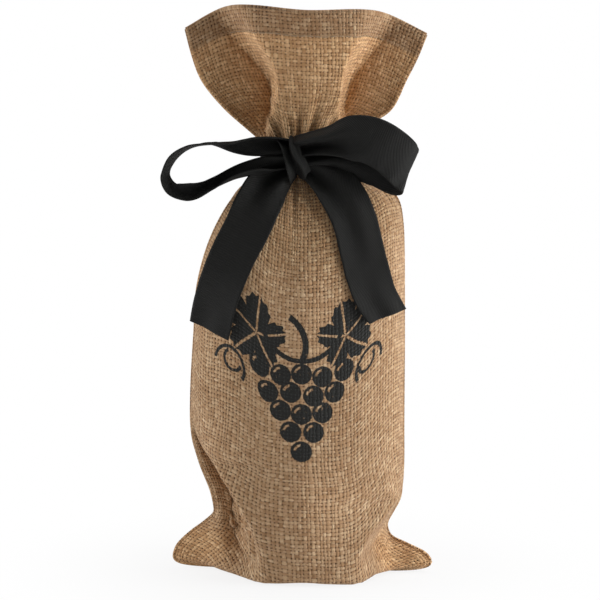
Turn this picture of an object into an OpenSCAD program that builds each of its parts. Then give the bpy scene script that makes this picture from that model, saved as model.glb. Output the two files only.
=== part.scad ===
// Wine gift bag: two flat woven panels sewn along the sides and the bottom, filled to the shape of
// a bottle, and gathered at the neck by a flat ribbon tied in a bow.
// X runs to the right, the front faces -Y and Z is up. The origin is the middle of the base.

/* [Bag body] */
// Height of the middle of the rim above the base
bag_h = 311; // [290:1:330]
// Greatest width of the filled body
body_w = 120; // [108:1:126]
// Greatest depth of the filled body
body_d = 75; // [66:1:82]
// Thickness of the woven cloth
cloth_t = 1.2; // [0.8:0.1:1.6]
// Distance from the middle to the tip of each sewn bottom corner
ear_reach = 73; // [66:1:76]
// Height of those tips above the base
ear_lift = 6; // [3:1:14]

/* [Neck and mouth] */
// Radius of the gathered neck
neck_r = 19; // [17:0.5:20]
// Height of the tie above the base
tie_z = 229; // [224:1:234]
// Width of the flat mouth, corner to corner
mouth_w = 131; // [114:1:136]
// Depth of the mouth at its middle
mouth_d = 34; // [30:1:40]
// How far the corners of the rim hang below its middle
rim_drop = 13; // [0:1:20]
// Depth of the folded hem
hem_h = 13; // [8:1:18]

/* [Ribbon] */
// Width of the flat ribbon
ribbon_w = 25; // [18:1:28]
// Thickness of the ribbon
ribbon_t = 0.8; // [0.5:0.1:1]
// Height of the bunched ribbon around the neck
wrap_h = 14; // [10:1:15]

/* [Hidden] */

burlap_colour = [0.80, 0.71, 0.56];
thread_colour = [0.72, 0.62, 0.46];
ribbon_colour = [0.07, 0.07, 0.08];

gap = 0.3;
seam_r = 1;
edge_y = seam_r + gap;
strip_half_w = 3;
thread_r = 0.4;
half_w = body_w / 2;
half_d = body_d / 2;
half_mouth = mouth_w / 2;

// Height, then the half width to the left and to the right, the half depth, how square the section
// is (0 is round, 1 is a box with thin corner flaps), and how pinched its ends are.
SECTIONS = [
    [0, 40, 42, half_d - 2.5, 1, 1],
    [8, 43, 45, half_d - 1, 1, 1],
    [22, 45, 47, half_d - 0.5, 0.8, 1],
    [38, 49, 56, half_d, 0.4, 1],
    [69, half_w - 2, half_w - 1.5, half_d, 0.1, 1],
    [93, half_w + 1, half_w - 1, half_d, 0, 1],
    [150, half_w - 1.5, half_w - 0.5, half_d - 0.5, 0, 1],
    [176, half_w - 6, half_w - 0.5, half_d - 1.5, 0, 1],
    [199, half_w - 16, half_w - 2, half_d - 5, 0, 1],
    [tie_z - 18, half_w - 25, half_w - 6, half_d - 11, 0, 1],
    [tie_z - 10, neck_r, neck_r, neck_r, 0, 1],
    [tie_z + 10, neck_r, neck_r, neck_r - 0.5, 0, 1],
    [tie_z + 20, neck_r + 11, neck_r + 11, 18, 0, 1.2],
    [tie_z + 33, neck_r + 23, neck_r + 28, mouth_d / 2 + 0.5, 0, 1.3],
    [tie_z + 51, half_mouth - 10, half_mouth - 4.5, mouth_d / 2, 0, 1.3],
    [bag_h, half_mouth - 2.5, half_mouth + 3.5, mouth_d / 2, 0, 1.3]
];

// The value in one column of SECTIONS at a height, eased a little over the corners between rows.
function column(k) = [for (row = SECTIONS) [row[0], row[k]]];
COLUMNS = [for (k = [0:5]) column(k)];
ease = 2.5;
function at(z, k) =
    (lookup(z - ease, COLUMNS[k]) + 2 * lookup(z, COLUMNS[k]) + lookup(z + ease, COLUMNS[k])) / 4;

function clamp01(t) = min(1, max(0, t));
function smooth(t) = let (c = clamp01(t)) c * c * (3 - 2 * c);
function unit(v) = v / max(norm(v), 1e-9);

// How far a point is drawn into a bottom corner flap, at s across the panel and height z.
ear_top = 32;
ear_start = 0.7;
function ear(s, z) = smooth((abs(s) - ear_start) / (1 - ear_start)) * clamp01(1 - z / ear_top);

// Depth of the section at s, as a share of its half depth.
flap_share = 0.06;
box_start = 0.5;
box_end = 0.9;
function depth_share(s, z) =
    let (round_share = pow(max(cos(90 * s), 0), at(z, 5)))
    let (box_share = 1 - (1 - flap_share) * smooth((abs(s) - box_start) / (box_end - box_start)))
    let (mix = at(z, 4))
    round_share * (1 - mix) + max(box_share, flap_share) * mix;

// Outer surface of the front panel. s runs from -1 at the left seam to 1 at the right seam.
function wall(s, z) =
    let (reach = s < 0 ? at(z, 1) : at(z, 2))
    let (pull = ear(s, z))
    let (to_tip = (ear_reach - (s < 0 ? 40 : 42)) * pull)
    [
        reach * sin(90 * s) + sign(s) * to_tip,
        -edge_y - (at(z, 3) - edge_y) * depth_share(s, z),
        z * (1 - rim_drop / bag_h * pow(abs(s), 2) * smooth((z - tie_z) / (bag_h - tie_z)))
            + ear_lift * pull
    ];

// The cloth turns under the body and runs flat to the bottom seam: t is 0 at the edge of the base.
seam_y = strip_half_w + gap;
function base(s, t) =
    let (edge = wall(s, 0))
    let (inner_y = -edge_y * 0.6 - (seam_y - edge_y * 0.6) * (1 - ear(s, 0)))
    [edge[0], edge[1] + (inner_y - edge[1]) * t, edge[2]];

// One surface for both: v below 0 is the base, v from 0 up is the height on the wall.
base_rows = 4;
function skin(s, v) = v < 0 ? base(s, -v) : wall(s, v);

// Point of the skin moved outwards by d along its normal.
step_s = 0.01;
step_v = 0.4;
function normal_at(s, v) =
    let (s0 = max(-1, s - step_s))
    let (s1 = min(1, s + step_s))
    let (v0 = v < 0 ? v - 0.02 : v - step_v)
    let (v1 = v < 0 ? min(0, v + 0.02) : v + step_v)
    let (low = v0 < 0 && v >= 0 ? base(s, 0.05) : skin(s, max(v0, -1)))
    unit(cross(skin(s1, v) - skin(s0, v), skin(s, v1) - low));
// The two panels stay on their own sides of the seams.
side_gap = seam_r + 0.1;
function own_side(p) = [p[0], min(p[1], -side_gap), p[2]];
function offset_skin(s, v, d) = own_side(skin(s, v) + d * normal_at(s, v));

// A slab between two equal grids of points: the first faces outwards.
function slab_faces(rows, cols) =
    let (n = rows * cols)
    let (last = rows - 1)
    let (end = cols - 1)
    concat(
        [for (i = [0:last - 1], j = [0:end - 1], k = [0, 1])
            let (a = i * cols + j)
            k == 0 ? [a, a + cols, a + cols + 1] : [a, a + cols + 1, a + 1]],
        [for (i = [0:last - 1], j = [0:end - 1], k = [0, 1])
            let (a = n + i * cols + j)
            k == 0 ? [a, a + cols + 1, a + cols] : [a, a + 1, a + cols + 1]],
        [for (i = [0:last - 1], e = [0, end], k = [0, 1])
            let (a = i * cols + e, b = a + n)
            let (q = e == 0 ? [a, b, b + cols, a + cols] : [a, a + cols, b + cols, b])
            k == 0 ? [q[0], q[1], q[2]] : [q[0], q[2], q[3]]],
        [for (j = [0:end - 1], e = [0, last], k = [0, 1])
            let (a = e * cols + j, b = a + n)
            let (q = e == 0 ? [a, a + 1, b + 1, b] : [a, b, b + 1, a + 1])
            k == 0 ? [q[0], q[1], q[2]] : [q[0], q[2], q[3]]]
    );

module slab(outer, inner) {
    rows = len(outer);
    cols = len(outer[0]);
    points = [for (row = concat(outer, inner)) for (p = row) p];
    polyhedron(points, slab_faces(rows, cols), convexity = 10);
}

// Cloth between two offsets of the skin, over a range of rows.
across = 28;
function grid(levels, d, reach) =
    [for (v = levels) [for (j = [0:across]) offset_skin((-1 + 2 * j / across) * reach, v, d)]];
module cloth(levels, outer_d, inner_d, reach = 1) {
    slab(grid(levels, outer_d, reach), grid(levels, inner_d, reach));
}

PANEL_LEVELS = concat(
    [for (i = [0:base_rows - 1]) -1 + i / base_rows],
    [0, 3, 8, 14, 20, 27, 35, 45, 58],
    [for (z = [75:18:165]) z],
    [176, 188, 199, 206],
    [for (z = [tie_z - 18:4:tie_z + 22]) z],
    [for (i = [1:9]) tie_z + 22 + (bag_h - tie_z - 22) * i / 9]
);

module front_cloth() {
    cloth(PANEL_LEVELS, 0, -cloth_t);
}

module front_hem_cloth() {
    levels = [for (i = [0:3]) bag_h - hem_h + hem_h * i / 3];
    hem_gap = 0.15;
    hem_reach = 0.84;
    cloth(levels, -cloth_t - hem_gap, -2 * cloth_t - hem_gap, hem_reach);
}

module front_panel() {
    color(burlap_colour) front_cloth();
}

module back_panel() {
    color(burlap_colour) mirror([0, 1, 0]) front_cloth();
}

module front_hem() {
    color(burlap_colour) front_hem_cloth();
}

module back_hem() {
    color(burlap_colour) mirror([0, 1, 0]) front_hem_cloth();
}

// A round tube through a list of points.
function tube_points(path, r, sides) =
    [for (i = [0:len(path) - 1])
        let (ahead = path[min(i + 1, len(path) - 1)])
        let (behind = path[max(i - 1, 0)])
        let (along = unit(ahead - behind))
        let (side = unit(cross(along, abs(along[1]) > 0.9 ? [0, 0, 1] : [0, 1, 0])))
        let (up = cross(side, along))
        for (k = [0:sides - 1])
            path[i] + r * (cos(360 * k / sides) * side + sin(360 * k / sides) * up)];

module tube(path, r, sides = 8) {
    n = len(path);
    faces = concat(
        [[for (k = [0:sides - 1]) k]],
        [for (i = [0:n - 2], k = [0:sides - 1], t = [0, 1])
            let (a = i * sides + k)
            let (b = i * sides + (k + 1) % sides)
            t == 0 ? [a, a + sides, b + sides] : [a, b + sides, b]],
        [[for (k = [sides - 1:-1:0]) (n - 1) * sides + k]]
    );
    polyhedron(tube_points(path, r, sides), faces, convexity = 10);
}

// Rolled edge where the two panels are sewn together, from the bottom corner to the rim.
seam_sink = 0.5;
module side_seam(side) {
    levels = concat(
        [0, 6, 13, 21, 30, 37],
        [for (z = [50:15:200]) z],
        [for (z = [tie_z - 20:4:tie_z + 20]) z],
        [for (i = [1:5]) tie_z + 20 + (bag_h - tie_z - 21) * i / 5]
    );
    path = [for (z = levels)
        let (edge = wall(side, z))
        [edge[0] - side * seam_sink, 0, edge[2]]];
    color(burlap_colour) tube(path, seam_r);
}

module left_side_seam() {
    side_seam(-1);
}

module right_side_seam() {
    side_seam(1);
}

// Flat allowance of the bottom seam, pressed between the base and the surface it stands on.
module bottom_seam() {
    reach = 26;
    color(burlap_colour) linear_extrude(cloth_t) union() {
        square([2 * reach, 2 * strip_half_w], center = true);
        for (side = [-1, 1]) {
            translate([side * reach, 0]) circle(r = strip_half_w, $fn = 32);
        }
    }
}

// Line of thread that holds the hem, front and back.
module stitch_line() {
    stitch_z = bag_h - hem_h + 1.5;
    path = [for (j = [0:24]) offset_skin(-0.97 + 1.94 * j / 24, stitch_z, thread_r + 0.05)];
    tube(path, thread_r, 6);
}

module hem_stitching() {
    color(thread_colour) stitch_line();
    color(thread_colour) mirror([0, 1, 0]) stitch_line();
}

// Ribbon bunched around the neck.
wrap_in = neck_r + 0.8;
wrap_out = wrap_in + 2 * ribbon_t;
module neck_wrap() {
    color(ribbon_colour) translate([0, 0, tie_z - wrap_h / 2]) difference() {
        cylinder(h = wrap_h, r = wrap_out, $fn = 96);
        translate([0, 0, -1]) cylinder(h = wrap_h + 2, r = wrap_in, $fn = 96);
    }
}

// Knot in front of the wrap.
knot_x = -3;
knot_y = -wrap_out - 5.5;
knot_z = tie_z + 1;
knot_size = [15, 10, 17];
module bow_knot() {
    corner_r = 3.5;
    reach = [for (c = knot_size) c / 2 - corner_r];
    color(ribbon_colour) translate([knot_x, knot_y, knot_z]) hull() {
        for (x = [-1, 1], y = [-1, 1], z = [-1, 1]) {
            translate([x * reach[0], y * reach[1], z * reach[2]]) sphere(r = corner_r, $fn = 20);
        }
    }
}

// Smooth curve through a list of points of any length.
function knots(list, i) = list[min(max(i, 0), len(list) - 1)];
function curve_at(list, t) =
    let (i = min(floor(t), len(list) - 2))
    let (f = t - i)
    let (a = knots(list, i - 1), b = knots(list, i), c = knots(list, i + 1), d = knots(list, i + 2))
    0.5 * (2 * b + (c - a) * f + (2 * a - 5 * b + 4 * c - d) * f * f
        + (3 * b - a - 3 * c + d) * f * f * f);
function curve(list, steps) =
    [for (k = [0:(len(list) - 1) * steps]) curve_at(list, k / steps)];

// Flat ribbon between two edges that run side by side.
function ribbon_normal(a, b, i) =
    let (n = len(a) - 1)
    let (along = a[min(i + 1, n)] + b[min(i + 1, n)] - a[max(i - 1, 0)] - b[max(i - 1, 0)])
    unit(cross(b[i] - a[i], along));
module ribbon(a, b) {
    n = len(a) - 1;
    outer = [for (i = [0:n]) [a[i], b[i]]];
    inner = [for (i = [0:n])
        let (back = ribbon_t * ribbon_normal(a, b, i))
        [a[i] - back, b[i] - back]];
    slab(outer, inner);
}

// A loop is the middle line of the ribbon, and beside each point half of its width as a vector.
module loop(spine) {
    middle = curve([for (p = spine) p[0]], 4);
    half = curve([for (p = spine) p[1]], 4);
    left = [for (i = [0:len(middle) - 1]) middle[i] - half[i]];
    right = [for (i = [0:len(middle) - 1]) middle[i] + half[i]];
    color(ribbon_colour) ribbon(left, right);
}

// The left loop stands on edge, so that its width runs from front to back.
half_ribbon = ribbon_w / 2;
LEFT_LOOP = [
    [[-13, -27, 231], [0, 6, 0]],
    [[-24, -27, 236], [0, 8, 0]],
    [[-42, -26, 238], [0, half_ribbon - 1, 0]],
    [[-58, -25, 236], [0, half_ribbon, 0]],
    [[-70, -25, 228], [0, half_ribbon, 0]],
    [[-72, -25, 218], [0, half_ribbon, 0]],
    [[-64, -25, 211], [0, half_ribbon, 0]],
    [[-48, -26, 212], [0, half_ribbon, 0]],
    [[-32, -27, 218], [0, half_ribbon - 3, 0]],
    [[-20, -28, 223], [0, 8, 0]],
    [[-13, -28, 226], [0, 6, 0]]
];
module left_loop() {
    loop(LEFT_LOOP);
}

// The right loop is turned flat to the front, so that its width runs up and down.
RIGHT_LOOP = [
    [[7.5, -32, 229], [0, 0, 6]],
    [[16, -36, 233], [0.5, 0, 9]],
    [[30, -41, 237], [2, 0, half_ribbon - 0.5]],
    [[44, -42, 234], [4, 0, half_ribbon - 0.8]],
    [[56, -39, 228], [5, 0, half_ribbon - 1]],
    [[61, -33, 225], [5, 0, half_ribbon - 1]],
    [[56, -28, 227], [5, 0, half_ribbon - 1]],
    [[43, -26, 232], [4, 0, half_ribbon - 0.8]],
    [[30, -26, 234], [2, 0, half_ribbon - 1]],
    [[17, -26, 231], [0.5, 0, 8]],
    [[7.5, -27, 228], [0, 0, 5]]
];
module right_loop() {
    loop(RIGHT_LOOP);
}

// Depth of the front of the bag at x and z, for the tails that lie on it.
function front_y(x, z) =
    let (reach = x < 0 ? at(z, 1) : at(z, 2))
    let (share = min(abs(x) / reach, 0.97))
    -at(z, 3) * sqrt(1 - share * share);

// A tail is a list of [x, z] on its middle line with its half width, laid clear of the front.
tail_gap = 2.2;
function across_dir(list, i) =
    let (d = knots(list, i + 1) - knots(list, i - 1))
    unit([d[1], -d[0]]);
module tail(spine) {
    middle = curve(spine, 5);
    flat = [for (p = middle) [p[0], p[1]]];
    edges = [for (side = [-1, 1]) [for (i = [0:len(middle) - 1])
        let (p = middle[i])
        let (q = across_dir(flat, i) * p[2] * side)
        let (x = p[0] + q[0])
        let (z = p[1] + q[1])
        [x, min(front_y(x, z), front_y(p[0], p[1])) - tail_gap - p[3], z]]];
    color(ribbon_colour) ribbon(edges[0], edges[1]);
}

// Each row is x, z, the half width, and how far the ribbon stands off the cloth there.
LEFT_TAIL = [
    [-5, 215, 6, 6],
    [-12, 209, 9, 6],
    [-20, 202, half_ribbon, 3],
    [-31, 184, half_ribbon, 1.5],
    [-40, 166, half_ribbon, 1],
    [-48, 143, half_ribbon, 1]
];
RIGHT_TAIL = [
    [6, 215, 5, 6],
    [14, 210, 8, 6],
    [23, 203, half_ribbon, 3],
    [33, 182, half_ribbon, 1.5],
    [40, 162, half_ribbon, 1],
    [46, 148, half_ribbon, 1]
];
module left_tail() {
    tail(LEFT_TAIL);
}

module right_tail() {
    tail(RIGHT_TAIL);
}

front_panel();
back_panel();
front_hem();
back_hem();
left_side_seam();
right_side_seam();
bottom_seam();
hem_stitching();
neck_wrap();
bow_knot();
left_loop();
right_loop();
left_tail();
right_tail();
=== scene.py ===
"""A wine gift bag: a sewn burlap bag shaped around a bottle and tied with a black ribbon bow.

Lengths in the tables are millimetres in the frame of the CAD model, and MM turns them into metres.
"""
import math

import bpy
import numpy as np
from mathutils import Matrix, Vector
from mathutils.bvhtree import BVHTree


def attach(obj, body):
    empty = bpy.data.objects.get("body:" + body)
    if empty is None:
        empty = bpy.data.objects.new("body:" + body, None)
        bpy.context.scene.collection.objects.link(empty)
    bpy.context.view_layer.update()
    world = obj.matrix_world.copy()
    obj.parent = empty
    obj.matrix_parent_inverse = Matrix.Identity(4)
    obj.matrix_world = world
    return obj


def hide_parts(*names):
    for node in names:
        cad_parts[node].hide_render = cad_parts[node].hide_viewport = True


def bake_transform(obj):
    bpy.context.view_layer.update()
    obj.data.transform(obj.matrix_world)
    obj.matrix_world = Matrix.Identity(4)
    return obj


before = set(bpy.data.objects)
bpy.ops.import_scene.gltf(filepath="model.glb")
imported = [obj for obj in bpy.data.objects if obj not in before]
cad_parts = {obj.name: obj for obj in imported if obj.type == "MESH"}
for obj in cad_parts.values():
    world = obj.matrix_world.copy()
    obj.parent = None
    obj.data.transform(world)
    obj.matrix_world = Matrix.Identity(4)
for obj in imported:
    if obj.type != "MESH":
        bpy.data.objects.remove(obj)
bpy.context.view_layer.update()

MM = 0.001
PANEL_W = 152.0
PANEL_H = 350.0
HALF_W = PANEL_W / 2
HEM_H = 13.0
CLOTH_T = 1.0
RIBBON_W = 25.0
RIBBON_T = 0.6

# Cells of the simulated cloth from seam to middle and from bottom to rim, and how many the
# finished cloth has for each of them.
HALF_CELLS = 26
ROWS = 125
FINER = 2

# ---- Curves and small helpers


def track(knots, w):
    """Monotone cubic through rows of (w, value, ...), at every w given. Ends hold their value."""
    table = np.array(knots, float)
    x, y = table[:, 0], table[:, 1:]
    h = np.diff(x)[:, None]
    slope = np.diff(y, axis=0) / h
    tangent = np.zeros_like(y)
    same = slope[:-1] * slope[1:] > 0
    left, right = h[:-1], h[1:]
    weight_a, weight_b = 2 * right + left, right + 2 * left
    with np.errstate(divide="ignore", invalid="ignore"):
        mean = (weight_a + weight_b) / (weight_a / slope[:-1] + weight_b / slope[1:])
    tangent[1:-1] = np.where(same, mean, 0)
    tangent[0], tangent[-1] = slope[0], slope[-1]
    w = np.clip(np.asarray(w, float), x[0], x[-1])
    i = np.clip(np.searchsorted(x, w, side="right") - 1, 0, len(x) - 2)
    step = h[i]
    t = ((w - x[i])[:, None]) / step
    a = (1 + 2 * t) * (1 - t) ** 2 * y[i] + t * (1 - t) ** 2 * step * tangent[i]
    b = t * t * (3 - 2 * t) * y[i + 1] + t * t * (t - 1) * step * tangent[i + 1]
    return a + b


def smooth(x, lo, hi):
    t = np.clip((np.asarray(x, float) - lo) / (hi - lo), 0, 1)
    return t * t * (3 - 2 * t)


def bell(x, centre, width):
    return np.exp(-(((np.asarray(x, float) - centre) / width) ** 2))


def unit(v):
    v = np.asarray(v, float)
    return v / np.maximum(np.linalg.norm(v, axis=-1, keepdims=True), 1e-9)


def lengths(path):
    """Distance along a path to each of its points."""
    return np.concatenate([[0], np.cumsum(np.linalg.norm(np.diff(path, axis=0), axis=1))])


def grid_normals(points):
    """Normals of a grid of points, by differences of its neighbours."""
    return unit(np.cross(np.gradient(points, axis=1), np.gradient(points, axis=0)))


def link(name, mesh):
    obj = bpy.data.objects.new(name, mesh)
    bpy.context.scene.collection.objects.link(obj)
    return obj


def grid_quads(index):
    """The four corners of each cell of a grid of point numbers."""
    corners = [index[:-1, :-1], index[:-1, 1:], index[1:, 1:], index[1:, :-1]]
    return np.stack(corners, -1).reshape(-1, 4)


def grid_index(points):
    rows, cols = points.shape[:2]
    return np.arange(rows * cols).reshape(rows, cols)


def flat_map(u, w):
    """Places on the flat cut for columns at every u and rows at every w."""
    return np.stack(np.broadcast_arrays(u[None, :], w[:, None]), -1)


def make_mesh(name, points, faces, uv):
    """An object from points and faces, with each corner's place on the flat cut as its UV map."""
    mesh = bpy.data.meshes.new(name)
    mesh.from_pydata((points.reshape(-1, 3) * MM).tolist(), [], faces)
    layer = mesh.uv_layers.new(name="flat")
    layer.data.foreach_set("uv", np.array(uv, np.float32).ravel())
    mesh.shade_smooth()
    return link(name, mesh)


def grid_mesh(name, points, flat):
    """An object from a grid of points and their places on the flat cut."""
    faces = grid_quads(grid_index(points))
    return make_mesh(name, points, faces.tolist(), flat.reshape(-1, 2)[faces.ravel()])


def apply_modifiers(obj):
    bpy.context.view_layer.update()
    depsgraph = bpy.context.evaluated_depsgraph_get()
    mesh = bpy.data.meshes.new_from_object(
        obj.evaluated_get(depsgraph), preserve_all_data_layers=True, depsgraph=depsgraph
    )
    obj.modifiers.clear()
    old = obj.data
    obj.data = mesh
    bpy.data.meshes.remove(old)


def thicken(obj, thickness, offset):
    solid = obj.modifiers.new("thickness", "SOLIDIFY")
    solid.thickness = thickness * MM
    solid.offset = offset
    solid.use_even_offset = False
    apply_modifiers(obj)
    obj.data.shade_smooth()


# ---- Shape of the bag. Each row of the cloth, w millimetres up its flat cut, passes through seven
# guides: seam, hollow, fold, middle, fold, hollow, seam. A row of a table is (w, x, y, z).

MIDDLE = [
    (0, 0, -0.5, 0.8), (18, 0, -18, 0.7), (33, 2, -38.5, 0.9), (38, 2, -43, 3), (46, 2, -43, 10),
    (74, 1, -40.5, 39), (119, 0, -37.6, 84), (179, 0, -37, 144), (213, 0, -35, 178),
    (238, 0, -30, 203), (254, 0, -22.5, 217), (264, 0.5, -16.6, 226), (274, 1, -16.2, 235),
    (288, 3, -18.2, 249), (307, 5, -18.6, 268.5), (325, 5, -18.6, 286), (338, 4, -19.5, 298.5),
    (350, 3, -21, 309.5),
]

LEFT = dict(
    seam=[
        (0, -68, -0.5, 3.2), (4, -72, -0.5, 5.5), (10, -70.5, -0.3, 11.5), (20, -62, 0, 20.5),
        (30, -53.5, -1, 27), (38, -48.3, -3, 33), (48, -49.3, -5, 41), (75, -56.8, -6.5, 63),
        (92, -60.5, -6, 78), (110, -61.2, -3, 94), (155, -59.6, -1, 134), (176, -58, -7, 153),
        (203, -52.5, -14, 177), (229, -42.7, -14, 200), (246, -33, -9, 214), (262, -18.8, 0, 226.5),
        (274, -18.6, 0, 236), (282, -23.6, 0, 242), (290, -29, 0, 247), (307, -43, 0, 260),
        (325, -55.2, 0, 276), (338, -59.6, 0, 288), (350, -63.3, 0, 302.3),
    ],
    low_fold=[
        (0, -29, -0.5, 0.8), (20, -28, -20, 0.8), (33, -24, -36.5, 1), (46, -21.8, -39, 12),
        (60, -25.8, -38, 26), (74, -33.5, -35.3, 41), (88, -43, -28.5, 56), (98, -50, -20, 66),
    ],
    low_hollow=[
        (0, -50, -0.5, 1.2), (20, -47, -13, 3), (34, -39, -20, 7.5), (46, -32.5, -8, 21),
        (60, -33.5, -2.5, 36), (74, -40.5, -2.5, 51), (88, -49.5, -5, 64), (98, -57, -8, 74),
    ],
    low_until=(98, 122),
    high_fold=[
        (274, -12.5, -11.5, 236), (288, -18, -15, 250), (298, -14.5, -16.5, 259),
        (307, -12.2, -16.8, 268.5), (316, -13, -16.8, 277), (325, -17.5, -16.5, 286),
        (338, -25, -16, 300), (350, -31, -15, 313),
    ],
    high_hollow=[
        (274, -16, -5, 236), (288, -19, -1, 248), (298, -16, 3, 256), (307, -15, 4.5, 265),
        (316, -17, 5, 274), (325, -23.5, 4, 284), (338, -35, 1.5, 298.5), (350, -45, -1, 312.2),
    ],
)

RIGHT = dict(
    seam=[
        (0, 69.5, -10, 2.8), (4, 73.8, -11.5, 5), (10, 71.5, -10.5, 9.6), (20, 60.5, -7, 15),
        (30, 50.8, -2, 19.2), (38, 49, 0, 25), (48, 51.8, 0, 31), (62, 57, 0, 42),
        (92, 58.2, 0, 70),
        (110, 58.2, 0, 86), (155, 58.4, 0, 126), (200, 58.3, 0, 168), (222, 57.9, 0, 188),
        (236, 56.5, 0, 203), (247, 51.5, 0, 213), (257, 37, 0, 220), (265, 21, 0, 227),
        (274, 19.5, 0, 236), (282, 25, 0, 241.5), (290, 31.8, 0, 247), (307, 50.4, 0, 258),
        (325, 59, 0, 275), (338, 64.8, 0, 286.5), (350, 70, 0, 299.3),
    ],
    low_fold=[
        (0, 34, -0.5, 0.8), (20, 35, -20, 0.8), (33, 35.5, -36.5, 1.2), (46, 32, -38, 13),
        (58, 37, -32.5, 24), (68, 46, -25.5, 33), (78, 54, -14, 42),
    ],
    low_hollow=[
        (0, 54, -9, 1.2), (20, 50, -16, 2.5), (33, 45, -20, 7.5), (46, 42.5, -13.5, 18),
        (58, 47, -11, 28), (68, 52.5, -8.5, 36), (78, 57, -6, 46),
    ],
    low_until=(78, 105),
    high_fold=[
        (274, 14, -11.5, 236), (288, 21, -15, 250), (298, 21.8, -16.3, 259),
        (307, 22.5, -16.8, 268.5), (316, 23.8, -16.8, 277), (325, 27, -16.5, 286),
        (338, 32.5, -16, 298.4), (350, 38, -15, 310.2),
    ],
    high_hollow=[
        (274, 17.5, -5, 236), (288, 22, -1, 248), (298, 23.2, 3, 256), (307, 25, 4.5, 265),
        (316, 27.5, 5, 274), (325, 33, 4, 283), (338, 42.5, 1.5, 296), (350, 51, -1, 308.5),
    ],
)

# How pinched the seams are (1 is a flat edge, 0 a round one) and how sharp the folds are.
PINCH = [
    (0, 0.6), (40, 0.7), (80, 0.35), (120, 0.1), (230, 0.1), (258, 0), (280, 0.2), (310, 0.9),
    (350, 1),
]
FOLD_SHARP = [
    (0, 0), (34, 0.1), (50, 0.8), (60, 1), (85, 0.9), (120, 0), (278, 0), (290, 0.85), (325, 0.9),
    (338, 0.5), (350, 0.1),
]
# Between the low and the high tables the guides lie on a round body, this far round it from the
# middle. HIGH_FROM is where the high tables take over.
FOLD_TURN = math.radians(45)
HOLLOW_TURN = math.radians(70)
HIGH_FROM = (256, 276)
TIE_Z = 230.0
# The least depth between the hollows of the front and of the back.
BACK_CLEAR = 3.5


def side_guides(side, middle, w):
    """Seam, hollow and fold of one side of the front, each a point for every w."""
    seam = track(side["seam"], w)
    low = 1 - smooth(w, *side["low_until"])[:, None]
    high = smooth(w, *HIGH_FROM)[:, None]

    def guide(turn, low_knots, high_knots):
        around = seam * math.sin(turn) + middle * math.cos(turn)
        around[:, 2] = middle[:, 2] + (seam[:, 2] - middle[:, 2]) * math.sin(turn) ** 2
        around = around * (1 - low) + track(low_knots, w) * low
        return around * (1 - high) + track(high_knots, w) * high

    fold = guide(FOLD_TURN, side["low_fold"], side["high_fold"])
    hollow = guide(HOLLOW_TURN, side["low_hollow"], side["high_hollow"])
    return seam, hollow, fold


def hermite(t, p0, p1, m0, m1):
    """Point at t of the curve from p0 to p1 that leaves along m0 and arrives along m1."""
    return (
        (1 + 2 * t) * (1 - t) ** 2 * p0 + t * (1 - t) ** 2 * m0
        + t * t * (3 - 2 * t) * p1 + t * t * (t - 1) * m1
    )


def through_guides(points, sharp, pinch, facing):
    """A row of cloth through its guides, with equal lengths of cloth between columns."""
    span = np.linalg.norm(np.diff(points, axis=1), axis=2)
    before, after = span[:, :-1, None], span[:, 1:, None]
    chords = np.diff(points, axis=1) / span[:, :, None]
    inner = (chords[:, :-1] * after + chords[:, 1:] * before) / (before + after)
    inner[:, [1, 3]] *= (1 - sharp)[:, None, :]
    round_end = np.array([0, facing, 0.0])
    first = unit(chords[:, 0] * pinch + round_end * (1 - pinch))
    last = unit(chords[:, -1] * pinch - round_end * (1 - pinch))
    tangent = np.concatenate([first[:, None], inner, last[:, None]], axis=1)
    t = np.linspace(0, 1, 25)[None, :, None]
    pieces = []
    for k in range(points.shape[1] - 1):
        h = span[:, k][:, None, None]
        p0, p1 = points[:, k][:, None], points[:, k + 1][:, None]
        m0, m1 = tangent[:, k][:, None] * h, tangent[:, k + 1][:, None] * h
        pieces.append(hermite(t, p0, p1, m0, m1))
    middle = points.shape[1] // 2
    halves = []
    for part in (pieces[:middle], pieces[middle:]):
        line = np.concatenate([p[:, (0 if k == 0 else 1):] for k, p in enumerate(part)], axis=1)
        steps = np.linalg.norm(np.diff(line, axis=1), axis=2)
        along = np.concatenate([np.zeros((len(line), 1)), np.cumsum(steps, 1)], 1)
        even = np.linspace(0, 1, HALF_CELLS + 1)
        rows = [
            np.stack([np.interp(even * a[-1], a, p[:, c]) for c in range(3)], -1)
            for a, p in zip(along, line)
        ]
        halves.append(np.array(rows))
    return np.concatenate([halves[0], halves[1][:, 1:]], axis=1)


def pleats(points, facing):
    """Gathers of the cloth under the ribbon, fading above and below it."""
    s = np.linspace(-1, 1, points.shape[1])[None, :]
    z = points[:, :, 2]
    wander = 0.035 * np.sin(5 * math.pi * s + 1 + facing) + 0.02 * np.sin(11 * math.pi * s + 2.3)
    wave = np.cos(math.pi * 9 * (s + wander)) + 0.35 * np.cos(math.pi * 16 * (s - wander) + facing)
    reach = 2.2 * bell(z, TIE_Z, 17) * (1 - 0.6 * bell(z, TIE_Z, 8)) + 0.5 * bell(z, TIE_Z, 32)
    out = points - np.array([1.0, 0, 0])
    out[:, :, 2] = 0
    return points + unit(out) * (wave * reach)[:, :, None]


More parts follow.
